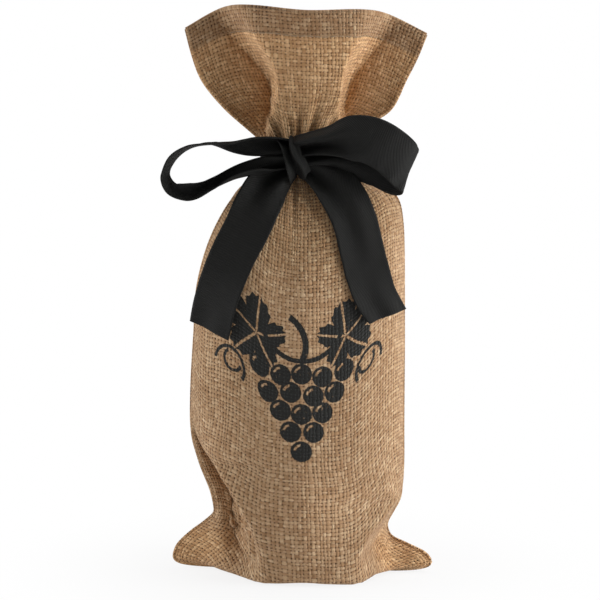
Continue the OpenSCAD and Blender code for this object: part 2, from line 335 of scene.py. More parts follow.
def panel_points(facing):
    """Coarse grid of the front panel (facing -1) or the back panel (facing 1)."""
    w = np.linspace(0, PANEL_H, ROWS + 1)
    middle = track(MIDDLE, w)
    left = side_guides(LEFT, middle, w)
    right = side_guides(RIGHT, middle, w)
    guides = np.stack([*left, middle, *right[::-1]], axis=1)
    if facing > 0:
        # The back mirrors the front, and keeps behind the front's hollows.
        guides[:, 1:-1, 1] *= -1
        front_y = -guides[:, [1, 5], 1]
        guides[:, [1, 5], 1] = np.maximum(guides[:, [1, 5], 1], front_y + BACK_CLEAR)
    sharp, pinch = track(FOLD_SHARP, w), track(PINCH, w)
    return even_columns(through_guides(guides, sharp, pinch, facing))


def even_columns(points):
    """Spaces the rows so that each column of the cloth is used up evenly."""
    steps = np.linalg.norm(np.diff(points, axis=0), axis=2)
    along = np.concatenate([np.zeros((1, steps.shape[1])), np.cumsum(steps, axis=0)])
    even = np.linspace(0, 1, len(points))
    out = np.empty_like(points)
    for j in range(points.shape[1]):
        for axis in range(3):
            out[:, j, axis] = np.interp(even * along[-1, j], along[:, j], points[:, j, axis])
    return out


def refine(points):
    """The same cloth on a finer grid, along smooth curves through its points."""
    for axis in (0, 1):
        p = np.moveaxis(points, axis, 0)
        ends = np.concatenate([2 * p[:1] - p[1:2], p, 2 * p[-1:] - p[-2:-1]])
        a, b, c, d = ends[:-3], ends[1:-2], ends[2:-1], ends[3:]
        parts = []
        for k in range(1, FINER + 1):
            t = k / FINER
            square = (2 * a - 5 * b + 4 * c - d) * t**2
            cube = (3 * b - a - 3 * c + d) * t**3
            parts.append(0.5 * (2 * b + (c - a) * t + square + cube))
        woven = np.stack(parts, 1).reshape(-1, *p.shape[1:])
        points = np.moveaxis(np.concatenate([p[:1], woven]), 0, axis)
    return points


def flat_grid(w, facing):
    """The flat cut of a panel; the back's lies beside the front's, so their yarns differ."""
    s = np.linspace(-1, 1, 2 * HALF_CELLS * FINER + 1)
    beside = 0 if facing < 0 else PANEL_W + 8
    u = HALF_W + HALF_W * s + beside
    return flat_map(u, w)


# ---- Cloth simulation

FRAMES = 20
MOST_MOVE = 6.0
CLOTH_GAP = 0.6 * MM
CLOTH = dict(
    quality=6, mass=0.0012, tension_stiffness=12, compression_stiffness=12, shear_stiffness=4,
    bending_stiffness=1.2, air_damping=2, pin_stiffness=1.0,
)
# (z, radius)
BOTTLE = (
    (-2, 34.5), (0, 36.5), (150, 36.5), (172, 35), (190, 29), (204, 21), (214, 15.5), (226, 14),
    (300, 14),
)


def bottle():
    """What the bag is draped over: it only takes part in the simulation."""
    turn = np.linspace(0, 2 * math.pi, 49)
    rings = np.array([[[r * math.cos(t), r * math.sin(t), z] for t in turn] for z, r in BOTTLE])
    return close_tube("bottle_collider", rings, np.zeros((*rings.shape[:2], 2)))


def settle(front, back):
    """Lets the cloth, cut flat, take up its slack around the shape that the guides give it."""
    rows, cols = front.shape[:2]
    front_index = grid_index(front)
    back_index = np.full((rows, cols), -1)
    back_index[0] = front_index[0]
    back_index[:, 0], back_index[:, -1] = front_index[:, 0], front_index[:, -1]
    free = back_index < 0
    back_index[free] = rows * cols + np.arange(free.sum())
    points = np.concatenate([front.reshape(-1, 3), back[free]])
    u, w = np.meshgrid(np.linspace(0, PANEL_W, cols), np.linspace(0, PANEL_H, rows))
    flat = np.stack([u, 0 * u, w], -1)
    flats = np.concatenate([flat.reshape(-1, 3), flat[free] + [0, 2, 0]])
    mesh = bpy.data.meshes.new("draping")
    faces = np.concatenate([grid_quads(front_index), grid_quads(back_index)[:, ::-1]])
    mesh.from_pydata((points * MM).tolist(), [], faces.tolist())
    cloth = link("draping", mesh)
    cloth.shape_key_add(name="Basis")
    rest = cloth.shape_key_add(name="flat")
    rest.data.foreach_set("co", (flats * MM).ravel())
    pins = cloth.vertex_groups.new(name="pins")
    tied = bell(points[:, 2], TIE_Z, 11)
    sole = 1 - smooth(flats[:, 2], 30, 50)
    creased = 1 - smooth(flats[:, 2], 85, 120)
    flared = smooth(flats[:, 2], 272, 290)
    hold = np.clip(0.16 + tied + 0.6 * sole + 0.4 * creased + 0.25 * flared, 0, 1)
    for i, weight in enumerate(hold):
        pins.add([i], float(weight), "REPLACE")
    solid = bottle()
    solid.modifiers.new("collision", "COLLISION")
    solid.collision.thickness_outer = CLOTH_GAP
    sim = cloth.modifiers.new("cloth", "CLOTH")
    for key, value in CLOTH.items():
        setattr(sim.settings, key, value)
    sim.settings.vertex_group_mass = "pins"
    sim.settings.rest_shape_key = rest
    sim.collision_settings.distance_min = CLOTH_GAP
    sim.point_cache.frame_start = 1
    sim.point_cache.frame_end = FRAMES
    scene = bpy.context.scene
    scene.frame_start, scene.frame_end = 1, FRAMES
    for frame_number in range(1, FRAMES + 1):
        scene.frame_set(frame_number)
    evaluated = cloth.evaluated_get(bpy.context.evaluated_depsgraph_get())
    out = np.empty(len(points) * 3, np.float32)
    evaluated.data.vertices.foreach_get("co", out)
    out = out.reshape(-1, 3).astype(float) / MM
    moved = out - points
    far = np.linalg.norm(moved, axis=1, keepdims=True)
    out = points + moved * np.minimum(1, MOST_MOVE / np.maximum(far, 1e-9))
    sunk = np.maximum(points[:, 2] - out[:, 2], 0)
    out[:, 2] += sunk * (1 - smooth(flats[:, 2], 34, 60))
    bpy.data.objects.remove(cloth)
    bpy.data.objects.remove(solid)
    scene.frame_set(1)
    return out[front_index], out[back_index]


# ---- Materials


SOCKETS = dict(
    base="Base Color", rough="Roughness", specular="Specular IOR Level", sheen="Sheen Weight",
    sheen_rough="Sheen Roughness",
)


class Nodes:
    """Short calls for building a material's nodes."""

    def __init__(self, name):
        self.material = bpy.data.materials.new(name)
        self.material.use_nodes = True
        self.tree = self.material.node_tree
        self.shader = self.tree.nodes["Principled BSDF"]

    def new(self, kind, **settings):
        node = self.tree.nodes.new(kind)
        for key, value in settings.items():
            setattr(node, key, value)
        return node

    def put(self, socket, value):
        if isinstance(value, bpy.types.NodeSocket):
            self.tree.links.new(value, socket)
        else:
            socket.default_value = value

    def math(self, operation, *values):
        node = self.new("ShaderNodeMath", operation=operation)
        for socket, value in zip(node.inputs, values):
            self.put(socket, value)
        return node.outputs[0]

    def add(self, a, b):
        return self.math("ADD", a, b)

    def sub(self, a, b):
        return self.math("SUBTRACT", a, b)

    def mul(self, a, b):
        return self.math("MULTIPLY", a, b)

    def div(self, a, b):
        return self.math("DIVIDE", a, b)

    def flat(self):
        """Place on the flat cut in millimetres: u across it and w along it."""
        uv = self.new("ShaderNodeUVMap", uv_map="flat")
        split = self.new("ShaderNodeSeparateXYZ")
        self.put(split.inputs[0], uv.outputs[0])
        return split.outputs[0], split.outputs[1]

    def length(self, x, y):
        return self.math("SQRT", self.add(self.mul(x, x), self.mul(y, y)))

    def vector(self, x, y, z=0.0):
        node = self.new("ShaderNodeCombineXYZ")
        for socket, value in zip(node.inputs, (x, y, z)):
            self.put(socket, value)
        return node.outputs[0]

    def scaled(self, x, by_x, y, by_y, z=0.0):
        return self.vector(self.mul(x, by_x), self.mul(y, by_y), z)

    def noise(self, vector, scale, detail=2.0, rough=0.5):
        node = self.new("ShaderNodeTexNoise")
        self.put(node.inputs["Vector"], vector)
        node.inputs["Scale"].default_value = scale
        node.inputs["Detail"].default_value = detail
        node.inputs["Roughness"].default_value = rough
        return node.outputs["Fac"]

    def ramp(self, value, *stops):
        node = self.new("ShaderNodeValToRGB")
        self.put(node.inputs[0], value)
        elements = node.color_ramp.elements
        while len(elements) < len(stops):
            elements.new(0.5)
        for element, (place, colour) in zip(elements, stops):
            element.position = place
            element.color = (*colour, 1)
        return node.outputs[0]

    def blend(self, kind, factor, a, b):
        node = self.new("ShaderNodeMix", data_type="RGBA", blend_type=kind)
        self.put(node.inputs[0], factor)
        self.put(node.inputs[6], a)
        self.put(node.inputs[7], b)
        return node.outputs[2]

    def step(self, value, lo, hi):
        node = self.new("ShaderNodeMapRange", interpolation_type="SMOOTHSTEP")
        self.put(node.inputs[0], value)
        node.inputs[1].default_value = lo
        node.inputs[2].default_value = hi
        return node.outputs[0]

    def constants(self, **values):
        for name, value in values.items():
            self.shader.inputs[SOCKETS[name]].default_value = value

    def bump(self, height, strength, distance):
        node = self.new("ShaderNodeBump")
        node.inputs["Strength"].default_value = strength
        node.inputs["Distance"].default_value = distance
        self.put(node.inputs["Height"], height)
        self.put(self.shader.inputs["Normal"], node.outputs[0])


WARP_PITCH, WEFT_PITCH = 2.1, 2.0
YARN_DARK = (0.30, 0.158, 0.070)
YARN_MIDDLE = (0.49, 0.298, 0.155)
YARN_LIGHT = (0.82, 0.61, 0.39)
HOLE = (0.07, 0.029, 0.009)
# Painted light and shade: cloth that lets light through is painted brighter, and the cloth drawn in
# under the bow darker.
PAINTED_THROUGH_LIGHT = (1.27, 1.20, 1.08, 1)
PAINTED_BOW_SHADE = (0.80, 0.77, 0.70, 1)
# Up the flat cut the painted bow shade fades in over the first range below and gives way to the
# painted light over THROUGH_FROM, as far as the doubled hem. The empty bottom corners get that
# painted light too: it fades out over EAR_UP above the bottom seam and over EAR_IN from the side
# seams.
BOW_SHADE_FROM = (185, 225)
THROUGH_FROM = (262, 290)
EAR_UP = (40, 22)
EAR_IN = (34, 14)
# Painted shade: the doubled hem is painted darker, as less light comes through two layers of cloth.
PAINTED_HEM_SHADE = (0.82, 0.78, 0.74, 1)
THREAD_DARK = (0.24, 0.15, 0.08)
THREAD_LIGHT = (0.46, 0.33, 0.20)
INK_DARK = (0.010, 0.010, 0.009)
INK_LIGHT = (0.030, 0.030, 0.027)
RIBBON_DARK = (0.006, 0.006, 0.006)
RIBBON_MIDDLE = (0.013, 0.013, 0.012)
RIBBON_LIGHT = (0.028, 0.028, 0.026)

# The print: its middle up the flat cut, its grapes in rows of (count, height), and its leaves as
# (x, y, size, tilt). Stem and tendrils are strokes: (centre, radius, middle, reach, pen).
PRINT_W = 144.0
GRAPE_R = 5.6
GRAPE_GAP = 11.6
GRAPE_ROWS = ((5, 8.5), (4, -1.6), (3, -11.7), (2, -21.8), (1, -31.9))
LEAVES = ((-25, 25, 20, 160), (24, 27, 19, 25))
STROKES = (
    ((0, 40), 24, -90, 62, 1.3), ((-15, 24), 17, 14, 48, 1.7),
    ((38, 3), 8, 95, 112, 0.9), ((36.5, 5.5), 4.6, -80, 112, 0.8),
    ((-40, 0), 9, 70, 100, 0.9), ((-38, 3), 5, 235, 112, 0.8),
)


def disc(n, x, y, cx, cy, radius):
    """Distance inside a disc, in millimetres, negative outside."""
    away = n.new("ShaderNodeVectorMath", operation="DISTANCE")
    n.put(away.inputs[0], n.vector(x, y))
    away.inputs[1].default_value = (cx, cy, 0)
    return n.sub(radius, away.outputs["Value"])


def arc(n, x, y, centre, radius, middle, reach, pen):
    """Distance inside a pen stroke along an arc, which spans reach degrees each way of middle."""
    cx, cy = centre
    dx, dy = n.sub(x, cx), n.sub(y, cy)
    away = n.length(dx, dy)
    turn = math.radians(middle)
    ahead = n.add(n.mul(dx, math.cos(turn)), n.mul(dy, math.sin(turn)))
    in_reach = n.sub(ahead, n.mul(away, math.cos(math.radians(reach))))
    band = n.sub(pen, n.math("ABSOLUTE", n.sub(away, radius)))
    return n.math("MINIMUM", band, in_reach)


def leaf(n, x, y, cx, cy, size, tilt):
    """A vine leaf with five lobes, and its veins left blank."""
    dx, dy = n.sub(x, cx), n.sub(y, cy)
    away = n.length(dx, dy)
    turn = n.sub(n.math("ARCTAN2", dy, dx), math.radians(tilt))
    lobe = n.math("ABSOLUTE", n.math("COSINE", n.mul(turn, 2.5)))
    teeth = n.mul(n.math("COSINE", n.mul(turn, 25)), 0.035)
    point = n.mul(n.math("COSINE", turn), 0.10)
    rim = n.add(n.add(n.mul(n.math("POWER", lobe, 0.8), 0.36), 0.56), teeth)
    inside = n.sub(n.mul(n.add(rim, point), size), away)
    vein = n.mul(n.math("ABSOLUTE", n.math("SINE", n.mul(turn, 2.5))), away)
    ahead = n.math("GREATER_THAN", lobe, 0.5)
    blank = n.sub(n.mul(vein, 0.4), n.mul(ahead, 0.55))
    return n.math("MINIMUM", inside, n.add(blank, n.mul(n.sub(1.0, ahead), 2.0)))


def grape_print(n, u, w):
    """Distance inside a printed bunch of grapes with two leaves and curled tendrils."""
    x = n.sub(u, HALF_W + 1.0)
    y = n.sub(w, PRINT_W)
    shapes = []
    for count, row_y in GRAPE_ROWS:
        for k in range(count):
            gx = (k - (count - 1) / 2) * GRAPE_GAP + 0.5 * math.sin(5 * k + row_y)
            gy = row_y + 0.8 * math.sin(3 * k + row_y)
            grape = disc(n, x, y, gx, gy, GRAPE_R)
            shine = arc(n, x, y, (gx, gy), GRAPE_R * 0.62, 135, 34, 0.55)
            shapes.append(n.math("MINIMUM", grape, n.mul(shine, -1.0)))
    shapes += [leaf(n, x, y, *numbers) for numbers in LEAVES]
    shapes += [arc(n, x, y, *numbers) for numbers in STROKES]
    ink = shapes[0]
    for shape in shapes[1:]:
        ink = n.math("MAXIMUM", ink, shape)
    return ink


def burlap_material(name, printed=False):
    """Coarse plain weave: every yarn has its own thickness and shade, with dark holes between."""
    n = Nodes(name)
    u, w = n.flat()
    place = n.vector(u, w)
    wander_u = n.noise(n.scaled(u, 0.22, w, 0.03), 1.0, 2)
    wander_w = n.noise(n.scaled(w, 0.22, u, 0.03, 7.0), 1.0, 2)
    a = n.add(n.div(u, WARP_PITCH), n.mul(wander_u, 1.5))
    b = n.add(n.div(w, WEFT_PITCH), n.mul(wander_w, 1.5))
    sin_a = n.math("SINE", n.mul(a, math.pi))
    sin_b = n.math("SINE", n.mul(b, math.pi))
    warp_index, weft_index = n.math("FLOOR", a), n.math("FLOOR", b)

    def along(index, step, seed, detail=2):
        """Noise that follows one yarn, and starts again on the next."""
        if index is warp_index:
            return n.noise(n.scaled(index, 7.3, w, step, seed), 1.0, detail)
        return n.noise(n.scaled(u, step, index, 7.3, seed), 1.0, detail)

    def yarn_top(position, index, lift, seed):
        """Height of one set of yarns, below zero between them."""
        half = n.add(n.mul(along(index, 0.28, seed), 0.32), 0.245)
        off = n.math("ABSOLUTE", n.sub(n.math("FRACT", position), 0.5))
        share = n.div(off, half)
        inside = n.math("MAXIMUM", n.sub(1.0, n.mul(share, share)), 0.0)
        dome = n.math("SQRT", inside)
        return n.sub(n.add(dome, lift), n.mul(n.math("LESS_THAN", inside, 0.001), 3.0))

    crimp = 0.42
    warp_lift = n.mul(n.mul(n.math("SIGN", sin_a), sin_b), crimp)
    weft_lift = n.mul(n.mul(n.math("SIGN", sin_b), sin_a), -crimp)
    warp_top = yarn_top(a, warp_index, warp_lift, 1.0)
    weft_top = yarn_top(b, weft_index, weft_lift, 5.0)
    height = n.math("MAXIMUM", n.math("MAXIMUM", warp_top, weft_top), -0.9)
    on_warp = n.math("GREATER_THAN", warp_top, weft_top)
    warp_fibre = n.noise(n.scaled(u, 4.5, w, 0.8), 1.0, 4, 0.7)
    weft_fibre = n.noise(n.scaled(u, 0.8, w, 4.5), 1.0, 4, 0.7)

    def pick(over_warp, over_weft):
        node = n.new("ShaderNodeMix", data_type="FLOAT")
        n.put(node.inputs[0], on_warp)
        n.put(node.inputs[2], over_weft)
        n.put(node.inputs[3], over_warp)
        return node.outputs[0]

    shade = pick(along(warp_index, 0.16, 11.0, 3), along(weft_index, 0.16, 17.0, 3))
    fibre = pick(warp_fibre, weft_fibre)
    tint = n.add(n.mul(shade, 0.8), n.mul(fibre, 0.7))
    yarn = n.ramp(
        tint,
        (0.45, YARN_DARK), (0.72, YARN_MIDDLE), (0.98, YARN_LIGHT),
    )
    relief = n.step(height, -0.1, 1.25)
    shaded = n.blend("MIX", relief, n.blend("MULTIPLY", 1.0, yarn, (0.40, 0.32, 0.25, 1)), yarn)
    hole = n.step(height, -0.25, 0.0)
    colour = n.blend("MIX", hole, (*HOLE, 1), shaded)
    large = n.noise(place, 0.02, 3)
    patches = n.ramp(large, (0.3, (0.90, 0.87, 0.84)), (0.7, (1, 1, 1)))
    colour = n.blend("MULTIPLY", 1.0, colour, patches)
    doubled = n.step(w, PANEL_H - HEM_H - 0.6, PANEL_H - HEM_H + 0.6)
    # Painted light: the single cloth of the flare, above the ribbon, and the bottom corners are
    # painted brighter.
    painted_light_flare = n.mul(n.step(w, *THROUGH_FROM), n.sub(1.0, doubled))
    from_side = n.sub(HALF_W, n.math("ABSOLUTE", n.sub(u, HALF_W)))
    ear = n.mul(n.step(w, *EAR_UP), n.step(from_side, *EAR_IN))
    colour = n.blend("MULTIPLY", n.math("MAXIMUM", painted_light_flare, ear), colour, PAINTED_THROUGH_LIGHT)
    # Painted shade: the cloth below the bow is painted darker, as the bow's shadow.
    bow_shade_mask = n.mul(n.step(w, *BOW_SHADE_FROM), n.step(w, *THROUGH_FROM[::-1]))
    colour = n.blend("MULTIPLY", bow_shade_mask, colour, PAINTED_BOW_SHADE)
    # Painted shade: the hem is painted darker.
    colour = n.blend("MULTIPLY", doubled, colour, PAINTED_HEM_SHADE)
    if printed:
        ink = grape_print(n, u, w)
        edge = n.sub(n.noise(n.vector(u, w, 4.0), 1.1, 3), 0.5)
        ink = n.step(n.add(ink, n.mul(edge, 1.0)), -0.2, 0.2)
        black = n.ramp(fibre, (0.3, INK_DARK), (0.75, INK_LIGHT))
        thin = n.step(n.noise(n.vector(a, b, 9.0), 1.3, 2), 0.68, 0.80)
        ink = n.mul(ink, n.sub(1.0, n.mul(thin, 0.45)))
        colour = n.blend("MIX", ink, colour, black)
    n.put(n.shader.inputs["Base Color"], colour)
    n.constants(rough=0.9, specular=0.2, sheen=0.12, sheen_rough=0.6)
    n.bump(n.add(n.math("MAXIMUM", height, -0.4), n.mul(fibre, 0.4)), 0.95, 0.5 * MM)
    return n.material


def thread_material():
    """Twisted yarn of the cloth's own colour."""
    n = Nodes("sewing_thread")
    u, w = n.flat()
    twist = n.math("SINE", n.mul(n.add(w, n.mul(u, 0.6)), 7.0))
    shade = n.noise(n.vector(u, w), 0.9, 3)
    colour = n.ramp(shade, (0.3, THREAD_DARK), (0.7, THREAD_LIGHT))
    n.put(n.shader.inputs["Base Color"], colour)
    n.constants(rough=0.8)
    n.bump(twist, 0.5, 0.15 * MM)
    return n.material


def ribbon_material():
    """Fine twill with a plain woven edge. u runs across the ribbon and w along it."""
    n = Nodes("black_ribbon")
    u, w = n.flat()
    rib = n.math("SINE", n.mul(n.add(w, n.mul(u, 0.9)), 2 * math.pi / 1.1))
    fine = n.math("SINE", n.mul(u, 2 * math.pi / 0.55))
    speckle = n.noise(n.scaled(u, 2.2, w, 2.2), 1.0, 3, 0.7)
    cloth = n.add(n.mul(rib, 0.6), n.mul(fine, 0.35))
    cloth = n.add(cloth, n.mul(speckle, 0.7))
    colour = n.ramp(
        n.mul(n.add(cloth, 1.0), 0.4),
        (0.1, RIBBON_DARK), (0.6, RIBBON_MIDDLE), (0.95, RIBBON_LIGHT),
    )
    n.put(n.shader.inputs["Base Color"], colour)
    n.constants(rough=0.62, specular=0.14, sheen=0.01, sheen_rough=0.4)
    n.bump(cloth, 0.55, 0.25 * MM)
    return n.material


# ---- Bag pieces


def outward_normals(points, facing):
    return grid_normals(points) * -facing


# How far inside the panel's face the hem lies, in thicknesses of cloth. Where front and back come
# close it lies nearer, as if HEM_NEEDS millimetres had to fit in HEM_SHARE of the gap.
HEM_INSET = 1.65
HEM_SHARE = 0.42
HEM_NEEDS = 2.2
TURN_ROWS = 9


def hem_strip(name, points, other, facing):
    """The hem: the panel's last stretch, folded over the rim and down the inside."""
    step = PANEL_H / (ROWS * FINER)
    depth = int(round(HEM_H / step))
    normal = outward_normals(points, facing)
    gap = np.linalg.norm(points - other, axis=2, keepdims=True)
    room = np.minimum(gap * HEM_SHARE / HEM_NEEDS, 1.0)
    inset = CLOTH_T * HEM_INSET
    rise = unit(points[-1] - points[-2])
    radius = (inset - CLOTH_T / 2) / 2
    rows = []
    for angle in np.linspace(0, math.pi, TURN_ROWS):
        inward = (CLOTH_T / 2 + radius - radius * math.cos(angle)) * room[-1]
        rows.append(points[-1] - normal[-1] * inward + rise * radius * math.sin(angle))
    for k in range(1, depth + 1):
        rows.append(points[-1 - k] - normal[-1 - k] * inset * room[-1 - k])
    grid = np.array(rows)
    s = np.linspace(0, PANEL_W, points.shape[1])
    down = np.concatenate([np.zeros(TURN_ROWS), np.arange(1, depth + 1) * step])
    flat = flat_map(s, PANEL_H - down * 0.999)
    if facing > 0:
        grid, flat = grid[:, ::-1], flat[:, ::-1]
    obj = grid_mesh(name, grid, flat)
    thicken(obj, CLOTH_T, 0)
    return obj


def tube(name, path, radius, sides):
    """A round piece along a path, with its length and its girth as its flat map."""
    path = np.asarray(path, float)
    tangent = unit(np.gradient(path, axis=0))
    side = unit(np.cross(tangent, np.array([0.13, 0.24, 0.97])))
    up = np.cross(side, tangent)
    turn = np.linspace(0, 2 * math.pi, sides + 1)
    across, high = np.cos(turn)[None, :, None], np.sin(turn)[None, :, None]
    points = path[:, None] + (side[:, None] * across + up[:, None] * high) * radius
    return close_tube(name, points, flat_map(turn * radius, lengths(path)))


def close_tube(name, points, flat, cap=True):
    """A tube from rings of points whose last column repeats the first."""
    rows, cols = points.shape[0], points.shape[1] - 1
    index = grid_index(points[:, :-1])
    after = np.roll(index, -1, axis=1)
    faces = np.stack([index[:-1], after[:-1], after[1:], index[1:]], -1).reshape(-1, 4).tolist()
    corners = np.arange(cols)
    uv = []
    for r in range(rows - 1):
        for c in corners:
            uv += [flat[r, c], flat[r, c + 1], flat[r + 1, c + 1], flat[r + 1, c]]
    if cap:
        for r, order in ((0, index[0][::-1]), (rows - 1, index[-1])):
            faces.append(order.tolist())
            uv += [flat[r, c % cols] for c in (corners[::-1] if r == 0 else corners)]
    return make_mesh(name, points[:, :-1], faces, uv)


def sample(points, u, w):
    """Point of a panel at u across and w up its flat cut, between the grid's own points."""
    rows, cols = points.shape[:2]
    r = np.clip(w / PANEL_H * (rows - 1), 0, rows - 1.001)
    c = np.clip(u / PANEL_W * (cols - 1), 0, cols - 1.001)
    i, j = int(r), int(c)
    a, b = r - i, c - j
    low = points[i, j] * (1 - b) + points[i, j + 1] * b
    high = points[i + 1, j] * (1 - b) + points[i + 1, j + 1] * b
    return low * (1 - a) + high * a


STITCH = dict(length=3.3, gap=1.0, radius=0.34, margin=2.5)


def hem_stitches(panels):
    """Short threads along the hem, front and back, each dipping into the cloth at its ends."""
    length = STITCH["length"]
    made = []
    for points, facing in panels:
        normal = outward_normals(points, facing)
        start = STITCH["margin"]
        while start + length < PANEL_W - STITCH["margin"]:
            path = []
            for t in np.linspace(0, 1, 7):
                place = start + length * t
                w = PANEL_H - HEM_H + 0.2 * math.sin(place * 0.35)
                out = 0.32 * math.sin(math.pi * t) ** 0.5 - 0.12
                path.append(sample(points, place, w) + sample(normal, place, w) * out)
            made.append(tube("stitch", path, STITCH["radius"], sides=6))
            start += length + STITCH["gap"]
    return join("hem_stitching_thread", made)


def join(name, objects):
    """Several meshes as one object."""
    for obj in bpy.context.selected_objects:
        obj.select_set(False)
    for obj in objects:
        obj.select_set(True)
    bpy.context.view_layer.objects.active = objects[0]
    bpy.ops.object.join()
    joined = bpy.context.view_layer.objects.active
    joined.name = name
    joined.select_set(False)
    return joined


SEAM_RADIUS = 0.95
SEAM_SINK = 0.35


def seam_ridge(name, path):
    """The turned edges of a seam, as a ridge that stays above the ground."""
    path = np.array(path)
    path[:, 2] = np.maximum(path[:, 2], SEAM_RADIUS)
    return tube(name, path, SEAM_RADIUS, sides=12)


# ---- Ribbon pieces


def spline(points, steps):
    """Points along a smooth curve through rows of numbers, spaced by the first three."""
    p = np.array(points, float)
    p = np.concatenate([[2 * p[0] - p[1]], p, [2 * p[-1] - p[-2]]])
    t = np.linspace(0, 1, 33)[:-1, None]
    parts = []
    for k in range(1, len(p) - 2):
        a, b, c, d = p[k - 1], p[k], p[k + 1], p[k + 2]
        gaps = [max(np.linalg.norm(q[:3] - r[:3]), 1e-6) for q, r in ((b, a), (c, b), (d, c))]
        m0 = ((b - a) / gaps[0] * gaps[1] + (c - b) / gaps[1] * gaps[0]) / (gaps[0] + gaps[1])
        m1 = ((c - b) / gaps[1] * gaps[2] + (d - c) / gaps[2] * gaps[1]) / (gaps[1] + gaps[2])
        parts.append(hermite(t, b, c, m0 * gaps[1], m1 * gaps[1]))
    line = np.concatenate([*parts, p[-2:-1]])
    along = lengths(line[:, :3])
    even = np.linspace(0, along[-1], steps)
    return np.stack([np.interp(even, along, line[:, k]) for k in range(line.shape[1])], 1), even


def square_to(across, tangent):
    """The part of across that is at right angles to the tangent, as unit vectors."""
    return unit(across - tangent * (across * tangent).sum(1, keepdims=True))


def two_faces(middle, surface, thick, s, along):
    """Rings round a ribbon's two faces, and the place of their points on the flat ribbon."""
    top = middle + surface * thick
    bottom = middle - surface * thick
    ring = np.concatenate([top, bottom[:, ::-1], top[:, :1]], axis=1)
    u = np.concatenate([s, s[::-1], s[:1]]) * RIBBON_W / 2 + RIBBON_W / 2
    return ring, flat_map(u, along)


def ribbon_strip(name, path, across, half, along, cut=0.0, curl=0.0):
    """A ribbon: where it is drawn narrower than its woven width it stands in folds.

    cut slants its far end, in millimetres from edge to edge, and curl cups it across."""
    cells, folds = 24, 1.5
    s = np.linspace(-1, 1, cells + 1)
    tangent = unit(np.gradient(path, axis=0))
    across = square_to(across, tangent)
    normal = np.cross(tangent, across)
    half = half[:, None]
    full = RIBBON_W / 2
    height = np.sqrt(np.maximum(full**2 - half**2, 0)) / (2 * folds)
    wave = height * np.sin(math.pi * folds * s[None, :])
    cup = curl * (s[None, :] ** 2 - 0.4) * (half / full)
    middle = (
        path[:, None] + across[:, None] * (half * s[None, :])[:, :, None]
        + normal[:, None] * (wave + cup)[:, :, None]
    )
    slant = cut * np.linspace(0, 1, len(path))[:, None] ** 12
    middle = middle + tangent[:, None] * (slant * s[None, :])[:, :, None]
    surface = unit(np.cross(np.gradient(middle, axis=0), np.gradient(middle, axis=1)))
    woven_edge = 0.55 * bell(np.abs(s), 0.95, 0.05) - 0.55 * (np.abs(s) > 0.999)
    thick = RIBBON_T / 2 * (1 + woven_edge)
    ring, flat = two_faces(middle, surface, thick[None, :, None], s, along)
    return close_tube(name, ring, flat)


LOOP_ROWS = 170
# x, y, z, direction across the ribbon, half width
LEFT_LOOP = [
    (-4, -27.5, 236.6, 0, -0.3, 1, 5.2), (-12, -27.5, 236.9, 0, -0.4, 0.92, 6.8),
    (-23, -26.5, 236.9, 0, -0.66, 0.75, 8.8), (-35, -25, 236.9, 0, -0.96, 0.27, 11),
    (-48, -24, 238.6, 0, -1, -0.04, 12.5), (-61, -24, 236, -0.05, -1, 0, 12.5),
    (-69.6, -24.5, 229, -0.09, -0.99, 0, 12.5), (-72.2, -24.5, 221.4, -0.09, -0.98, -0.14, 12.5),
    (-69.2, -25, 215.4, -0.08, -0.95, -0.24, 12.5), (-60, -25, 213.2, 0, -0.92, -0.38, 12.5),
    (-47, -25.5, 217.4, 0, -0.93, -0.36, 12), (-34, -27, 223.3, 0.05, -0.93, -0.33, 10.5),
    (-22, -28.5, 226.5, 0.1, -0.8, -0.5, 8), (-12, -29, 228, 0.1, -0.4, -0.9, 5.5),
    (-4, -29, 229, 0, -0.2, -1, 4.5),
]
RIGHT_LOOP = [
    (-3, -30.5, 236.8, -0.2, -0.1, 1, 5.4), (6, -33.2, 238.6, -0.3, -0.1, 1, 6),
    (16, -37.2, 239.9, -0.2, -0.1, 1, 7.8), (26, -40.5, 241.2, 0.05, -0.05, 1, 11.7),
    (37, -42, 240, 0.3, 0, 0.95, 12.5), (48, -41.5, 234.2, 0.38, 0, 0.93, 12.5),
    (55.4, -38.5, 227.4, 0.38, 0, 0.93, 12.5), (58, -33, 223.7, 0.38, 0, 0.93, 12.5),
    (54, -28.3, 222.9, 0.32, 0, 0.95, 12.5), (44, -26.3, 227.1, 0.2, 0, 0.98, 12.3),
    (31, -25.8, 230.7, 0.05, 0, 1, 11.5), (18, -26, 231.5, 0, 0, 1, 8), (7, -27, 230, 0, 0, 1, 5.5),
    (-1, -27.5, 229, 0, 0, 1, 4.5),
]
# x, z, half width and distance off the bag
LEFT_TAIL = [
    (-4, 225, 4.5, 7), (-10, 221.3, 8, 6.6), (-16.6, 216, 11.4, 4.6), (-22.4, 206.3, 12.3, 2.5),
    (-28, 194, 12.5, 1.5), (-35.3, 180, 12.5, 1.2), (-41, 166.8, 12.5, 1.0),
    (-45.6, 153, 12.5, 0.9), (-49.2, 137.6, 12.4, 1.0),
]
RIGHT_TAIL = [
    (1.5, 226, 4.5, 6.5), (8.5, 223.6, 8, 6), (16.6, 218.5, 11.2, 4), (23, 210.6, 12.2, 2.4),
    (28.9, 198.5, 12.3, 1.4), (32.9, 183.3, 12.4, 1.0), (36.4, 169.2, 12.5, 0.9),
    (41.2, 155.6, 12.3, 0.9), (47.7, 145.2, 11.8, 1.3),
]


# How much of the bag's slope a tail takes across its width: 1 is all of it, 0 faces straight ahead.
TAIL_LEAN = 0.5
TAIL_ROWS = 96
# Where the bag is felt for across a tail, which two of those places give its slope, and how many
# rows each way the foremost touch and the averaging reach.
TAIL_PLACES = np.linspace(-11, 11, 9)
SLOPE_FROM, SLOPE_TO = 2, 6
AROUND = 4
EVEN_OVER = 7


